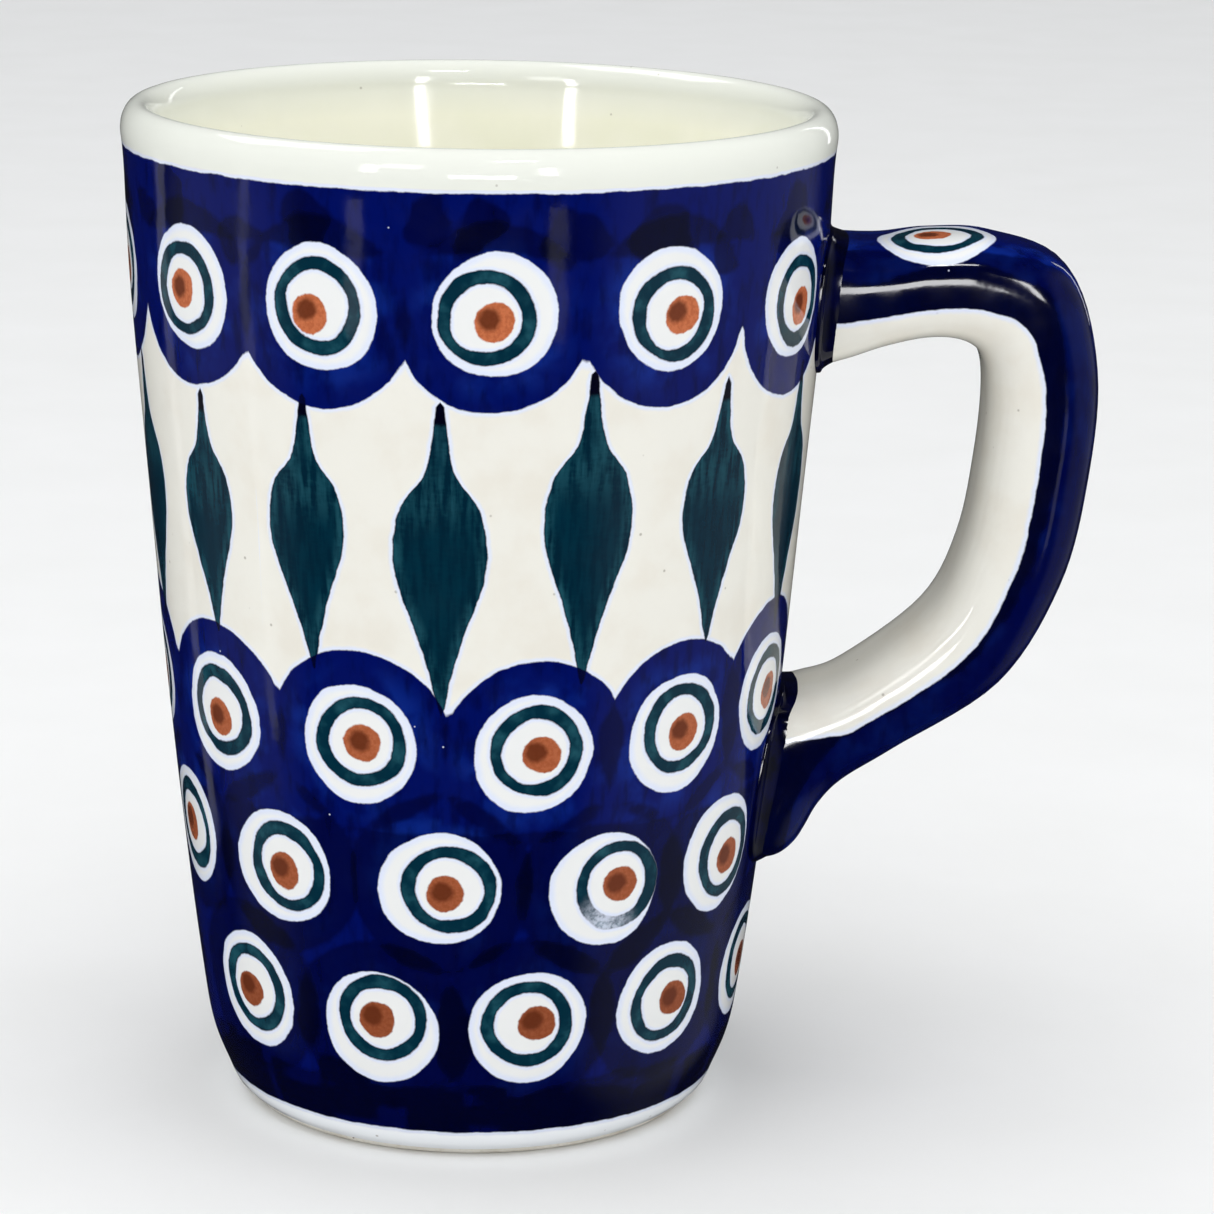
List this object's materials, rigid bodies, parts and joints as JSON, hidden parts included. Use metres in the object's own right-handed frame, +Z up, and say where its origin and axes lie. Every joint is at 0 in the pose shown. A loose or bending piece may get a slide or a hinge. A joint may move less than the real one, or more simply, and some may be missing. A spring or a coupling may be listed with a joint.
{
  "type": "stoneware mug",
  "caption": "Tall tapered stoneware mug with a rounded lip, a strap handle luted on with slip collars, and cobalt stamped decoration under a clear glaze.",
  "frame": {"origin": "on the plane the foot stands on, below the middle of the whole mug's box, handle included", "axes": "+Z up the cup's axis, +X from the cup towards the handle, +Y across the handle's strap"},
  "size_m": [0.1216, 0.0884, 0.127],
  "materials": {
    "clay": "bare fired stoneware",
    "handle_clay": "bare fired stoneware",
    "cream_glaze": "gloss cream glaze",
    "base_glaze": "gloss cream glaze",
    "painted_glaze": "gloss glaze over paint",
    "handle_glaze": "gloss glaze over paint",
    "slip": "gloss glaze over paint"
  },
  "bodies": {
    "root": {"cup_body": "clay", "inner_glaze": "cream_glaze", "outer_glaze": "painted_glaze", "base_glaze": "base_glaze", "handle": "handle_clay", "handle_glaze": "handle_glaze", "upper_slip_collar": "slip", "lower_slip_collar": "slip"}
  },
  "joints": []
}
